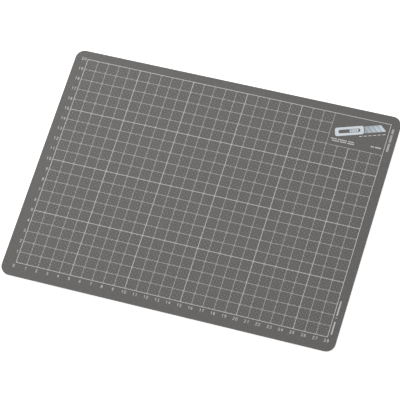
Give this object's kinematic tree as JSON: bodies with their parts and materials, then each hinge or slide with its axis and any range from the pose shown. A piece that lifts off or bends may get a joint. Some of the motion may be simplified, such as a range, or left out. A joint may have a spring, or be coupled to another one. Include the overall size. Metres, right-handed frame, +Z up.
{
  "type": "self-healing cutting mat",
  "caption": "Flat three-ply self-healing cutting mat with rounded corners, a printed centimetre grid and edge scales, for knife work on a bench.",
  "frame": {"origin": "centre of the underside, on the surface that the mat lies on", "axes": "+X along the long side in the direction that the lower scale counts, +Y across the mat away from that scale, +Z up out of the printed face"},
  "size_m": [0.3, 0.22, 0.003],
  "materials": {
    "skin": "matt, lightly grained soft PVC",
    "core": "matt, stiff PVC",
    "white_ink": "matt screen-print ink",
    "pale_blue_ink": "matt screen-print ink"
  },
  "bodies": {
    "root": {"bottom_skin": "skin", "core_sheet": "core", "top_skin": "skin", "border_line": "white_ink", "five_centimetre_lines": "white_ink", "one_centimetre_lines": "white_ink", "lower_scale_numerals": "white_ink", "left_scale_numerals": "white_ink", "badge_body": "pale_blue_ink", "badge_slider": "pale_blue_ink", "badge_blade": "pale_blue_ink", "badge_cut_line": "white_ink", "badge_caption": "white_ink", "badge_size_mark": "white_ink", "upper_margin_caption": "white_ink", "lower_margin_caption": "white_ink"}
  },
  "joints": []
}
